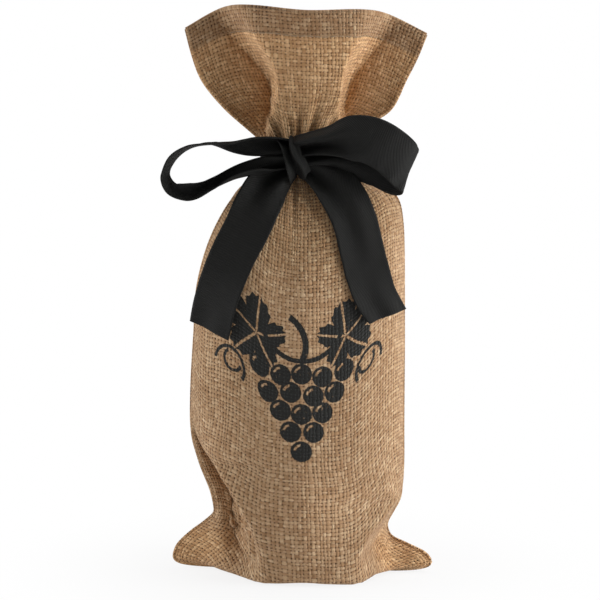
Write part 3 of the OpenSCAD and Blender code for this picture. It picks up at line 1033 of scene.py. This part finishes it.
def evened(values):
    """Values along a ribbon, each averaged with its neighbours."""
    kernel = np.hanning(2 * EVEN_OVER + 1)
    kernel = kernel / kernel.sum()
    return np.convolve(np.pad(values, EVEN_OVER, mode="edge"), kernel, "valid")


def tail(name, table, bag_points, cut, curl):
    """A ribbon end that hangs in front of the bag and lies on what stands foremost under it."""
    line, along = spline([(x, 0, z, half, off) for x, z, half, off in table], TAIL_ROWS)
    tree = bag_tree(bag_points)
    front = np.array([[ray_front(tree, x + dx, z) for dx in TAIL_PLACES] for x, _, z, _, _ in line])
    rise = front[:, SLOPE_TO] - front[:, SLOPE_FROM]
    lean = evened(TAIL_LEAN * rise / (TAIL_PLACES[SLOPE_TO] - TAIL_PLACES[SLOPE_FROM]))
    touch = np.pad((front - lean[:, None] * TAIL_PLACES).min(axis=1), AROUND, mode="edge")
    foremost = np.min([touch[k:k + len(line)] for k in range(2 * AROUND + 1)], axis=0)
    y = evened(foremost) - line[:, 4]
    path = np.stack([line[:, 0], y, line[:, 2]], 1)
    tangent = unit(np.gradient(path, axis=0))
    across = np.cross(tangent, np.array([0, 1.0, 0]))
    across = across * np.sign(across[:, :1])
    across[:, 1] = across[:, 0] * lean
    return ribbon_strip(name, path, across, line[:, 3], along, cut=cut, curl=curl)


def bag_tree(points):
    faces = grid_quads(grid_index(points))
    return BVHTree.FromPolygons(points.reshape(-1, 3).tolist(), faces.tolist())


def ray_front(tree, x, z):
    """How far forward the bag's front stands at x and z."""
    hit = tree.ray_cast(Vector((x, -200, z)), Vector((0, 1, 0)))[0]
    return hit.y if hit is not None else 0.0


WRAP_RADIUS = 21.0
WRAP_ROUND = 2 * math.pi * WRAP_RADIUS


def wrap_band():
    """The ribbon drawn tight round the neck, bunched into folds."""
    turn = np.linspace(0, 2 * math.pi, 145)
    tall = 7.4 + 0.8 * np.sin(turn * 2 + 0.6) + 0.4 * np.sin(turn * 5)
    radius = WRAP_RADIUS + 0.25 * np.sin(3 * turn + 1)
    centre_z = TIE_Z - 0.5 + 0.8 * np.sin(turn + 0.4)
    path = np.stack([radius * np.sin(turn), -radius * np.cos(turn) * 0.98, centre_z], 1)
    across = np.tile([0, 0, 1.0], (len(turn), 1))
    along = WRAP_RADIUS * turn
    return ribbon_ring("neck_wrap_ribbon", path, across, tall, along, folds=5.5, spread=0.6)


def ribbon_ring(name, path, across, half, along, folds, spread):
    """A closed ring of ribbon in folds; the first and last rows of its path are the same.

    spread is the share of the folds' full depth that is kept."""
    cells = 30
    s = np.linspace(-1, 1, cells + 1)
    inner = path[:-1]
    tangent = unit(np.roll(inner, -1, axis=0) - np.roll(inner, 1, axis=0))
    across = square_to(across[:-1], tangent)
    normal = np.cross(tangent, across)
    half = half[:-1, None]
    full = RIBBON_W / 2
    turn = np.linspace(0, 2 * math.pi, len(inner), endpoint=False)[:, None]
    height = np.sqrt(np.maximum(full**2 - half**2, 0)) / (2 * folds) * spread
    drift = 0.5 * np.sin(2 * turn) + 0.3 * np.sin(3 * turn + 1)
    small = 0.35 * np.sin(9 * s[None, :] + 2 * drift)
    wave = height * (np.sin(math.pi * folds * s[None, :] + drift) + small)
    bulge = (1 - s[None, :] ** 2) * 0.8
    middle = (
        inner[:, None] + across[:, None] * (half * s[None, :])[:, :, None]
        - normal[:, None] * (wave - bulge)[:, :, None]
    )
    d_along = np.roll(middle, -1, axis=0) - np.roll(middle, 1, axis=0)
    surface = unit(np.cross(d_along, np.gradient(middle, axis=1)))
    ring, flat = two_faces(middle, surface, RIBBON_T / 2, s, along)
    ring = np.concatenate([ring, ring[:1]], axis=0)
    obj = close_tube(name, ring, flat, cap=False)
    weld = obj.modifiers.new("weld", "WELD")
    weld.merge_threshold = 0.005 * MM
    apply_modifiers(obj)
    obj.data.shade_smooth()
    return obj


# Half the depth and height of the strap's path, its lean in degrees, and its half width.
KNOT = dict(centre=(-3.0, -28.5, 230.6), deep=7.0, tall=10.2, lean=18, wide=4.8)
KNOT_ROUND = math.pi * (KNOT["deep"] + KNOT["tall"])


def knot():
    """The strap that crosses over the loops' roots and round behind them."""
    turn = np.linspace(0, 2 * math.pi, 97)
    y = -KNOT["deep"] * np.cos(turn)
    z = KNOT["tall"] * np.sin(turn)
    lean = math.radians(KNOT["lean"])
    path = np.stack([-z * math.sin(lean), y, z * math.cos(lean)], 1) + np.array(KNOT["centre"])
    across = np.tile([math.cos(lean), 0, math.sin(lean)], (len(turn), 1))
    half = KNOT["wide"] + 1.4 * np.sin(turn - 0.5) ** 2
    along = KNOT_ROUND * turn / (2 * math.pi)
    return ribbon_ring("bow_knot_ribbon", path, across, half, along, folds=1.45, spread=0.62)


def place(obj, material, body, slot, nodes, flat=None, held="folded"):
    """Gives a piece its material and its body, and hides the nodes it replaces. Its slot and flat
    size are not used.
    """
    obj.data.materials.append(material)
    if body is not None:
        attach(obj, body)
    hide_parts(*nodes)


def length_of(table):
    """Length of a ribbon whose path a table gives."""
    return spline(table, 200)[1][-1]


def make_bag(burlap, printed, thread):
    """The cloth, its hems, stitches and seams. Returns the points of the front."""
    front, back = panel_points(-1), panel_points(1)
    front, back = settle(front, back)
    w = np.linspace(0, PANEL_H, ROWS * FINER + 1)
    front, back = pleats(refine(front), -1), pleats(refine(back), 1)
    panels = {}
    for name, points, facing in (("front", front, -1), ("back", back, 1)):
        flat = flat_grid(w, facing)
        grid = points
        if facing > 0:
            grid, flat = points[:, ::-1], flat[:, ::-1]
        panels[name] = grid_mesh(name + "_cloth", grid, flat)
        thicken(panels[name], CLOTH_T, -1)
    hems = {
        "front": hem_strip("front_hem_fold", front, back, -1),
        "back": hem_strip("back_hem_fold", back, front, 1),
    }
    for name, material in (("front", printed), ("back", burlap)):
        hem, panel = [name + "_hem"], [name + "_panel"]
        place(hems[name], burlap, "bag", "burlap", hem, (PANEL_W, HEM_H), "folded")
        place(panels[name], material, "bag", "burlap", panel, (PANEL_W, PANEL_H), "gathered")
    stitches = hem_stitches(((front, -1), (back, 1)))
    place(stitches, thread, "bag", "thread", ["hem_stitching"])
    for name, column in (("left", 0), ("right", -1)):
        path = front[:, column]
        beside = 3 if column == 0 else -4
        sink = unit(front[:, beside] + back[:, beside] - 2 * path)
        ridge = seam_ridge(name + "_side_seam_ridge", path + sink * SEAM_SINK)
        place(ridge, burlap, "bag", "burlap", [name + "_side_seam"])
    ridge = seam_ridge("bottom_seam_ridge", front[0])
    place(ridge, burlap, "bag", "burlap", ["bottom_seam"])
    return front


def make_ribbon(ribbon, front):
    """The wrap round the neck and the bow: its knot, loops and tails."""
    place(wrap_band(), ribbon, "bag", "ribbon", ["neck_wrap"], (RIBBON_W, WRAP_ROUND), "gathered")
    place(knot(), ribbon, "bag", "ribbon", ["bow_knot"], (RIBBON_W, KNOT_ROUND), "gathered")
    # Side, table, where the bend from the knot starts and ends in metres, the tail's cut, the cup.
    loops = (
        ("left", LEFT_LOOP, (-0.007, -0.0275, 0.2285), (-0.019, -0.0275, 0.2285), 1.0),
        ("right", RIGHT_LOOP, (0.002, -0.0295, 0.229), (0.013, -0.0295, 0.229), -1.2),
    )
    for side, table, start, end, curl in loops:
        line, along = spline(table, LOOP_ROWS)
        path, across, half = line[:, :3], line[:, 3:6], line[:, 6]
        piece = ribbon_strip(side + "_loop_ribbon", path, across, half, along, curl=curl)
        length = length_of(table)
        place(piece, ribbon, None, "ribbon", [side + "_loop"], (RIBBON_W, length), "folded")
        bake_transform(piece)
    tails = (
        ("left", LEFT_TAIL, (-0.004, -0.030, 0.221), (-0.009, -0.030, 0.2115), 1.6, 0.8),
        ("right", RIGHT_TAIL, (0.004, -0.030, 0.221), (0.010, -0.030, 0.2115), 3.2, 0.8),
    )
    for side, table, start, end, cut, curl in tails:
        piece = tail(side + "_tail_ribbon", table, front, cut, curl)
        length = length_of([(x, 0, z) for x, z, *_ in table])
        place(piece, ribbon, None, "ribbon", [side + "_tail"], (RIBBON_W, length), "hung")
        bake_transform(piece)


def main():
    light_and_camera()
    burlap = burlap_material("burlap")
    printed = burlap_material("burlap_printed", printed=True)
    front = make_bag(burlap, printed, thread_material())
    make_ribbon(ribbon_material(), front)


# ---- Camera, floor and light


AMBIENT = 0.05
# Distances from the bag, in metres, between which the floor fades to white, and how much of that
# white falls on the bag.
FLOOR_FADE = (-0.42, 0.20)
FLOOR_GLOW = 0.3


def make_floor():
    """Pale paper under the bag, which fades to the white of the background further out."""
    mesh = bpy.data.meshes.new("floor")
    far = 30.0
    corners = [(-far, -far, 0), (far, -far, 0), (far, far, 0), (-far, far, 0)]
    mesh.from_pydata(corners, [], [(0, 1, 2, 3)])
    floor = link("floor", mesh)
    n = Nodes("floor_paper")
    n.constants(base=(0.86, 0.86, 0.87, 1), rough=0.9, specular=0.1)
    glow = n.new("ShaderNodeEmission")
    glow.inputs[0].default_value = (1, 1, 1, 1)
    geometry = n.new("ShaderNodeNewGeometry")
    split = n.new("ShaderNodeSeparateXYZ")
    n.put(split.inputs[0], geometry.outputs["Position"])
    flat_place = n.vector(split.outputs[0], split.outputs[1])
    away = n.new("ShaderNodeVectorMath", operation="LENGTH")
    n.put(away.inputs[0], flat_place)
    fade = n.step(away.outputs["Value"], *FLOOR_FADE)
    seen = n.new("ShaderNodeLightPath").outputs["Is Camera Ray"]
    fade = n.mul(fade, n.math("MAXIMUM", seen, FLOOR_GLOW))
    mix = n.new("ShaderNodeMixShader")
    n.put(mix.inputs[0], fade)
    n.put(mix.inputs[1], n.shader.outputs[0])
    n.put(mix.inputs[2], glow.outputs[0])
    n.put(n.tree.nodes["Material Output"].inputs[0], mix.outputs[0])
    mesh.materials.append(n.material)


def make_world():
    """White to look at, and dim as a light."""
    world = bpy.data.worlds.new("studio")
    bpy.context.scene.world = world
    world.use_nodes = True
    tree = world.node_tree
    background = tree.nodes["Background"]
    background.inputs[0].default_value = (1, 1, 1, 1)
    path = tree.nodes.new("ShaderNodeLightPath")
    level = tree.nodes.new("ShaderNodeMapRange")
    level.inputs[3].default_value = AMBIENT
    level.inputs[4].default_value = 1.0
    tree.links.new(path.outputs["Is Camera Ray"], level.inputs[0])
    tree.links.new(level.outputs[0], background.inputs[1])


CAMERA_AT = (0, -0.850, 0.215)
CAMERA_DIP = 4.23
CAMERA_LENS = 91.2
# name, place, aim, size, power
SOFT_BOXES = (
    ("light_right", (0.80, -0.19, 0.24), (0.02, 0, 0.12), (0.45, 0.5), 6.9),
    ("light_left", (-0.80, -0.05, 0.32), (-0.02, 0, 0.14), (0.45, 0.6), 4.8),
    ("light_front", (0.30, -1.25, 0.55), (0, 0, 0.15), (0.7, 0.6), 0.62),
    ("light_top", (0.25, 0.22, 1.15), (0, 0, 0), (0.9, 0.7), 6.4),
)


def light_and_camera():
    scene = bpy.context.scene
    scene.view_settings.view_transform = "Standard"
    scene.view_settings.look = "None"
    cam = bpy.data.objects.new("camera", bpy.data.cameras.new("camera"))
    scene.collection.objects.link(cam)
    cam.location = CAMERA_AT
    cam.rotation_euler = (math.radians(90 - CAMERA_DIP), 0, 0)
    cam.data.lens = CAMERA_LENS
    scene.camera = cam
    make_floor()
    make_world()
    for name, at, aim, size, power in SOFT_BOXES:
        lamp = bpy.data.lights.new(name, "AREA")
        lamp.shape = "RECTANGLE"
        lamp.size, lamp.size_y = size
        lamp.energy = power
        obj = bpy.data.objects.new(name, lamp)
        scene.collection.objects.link(obj)
        obj.location = at
        obj.rotation_euler = (Vector(aim) - Vector(at)).to_track_quat("-Z", "Y").to_euler()


main()
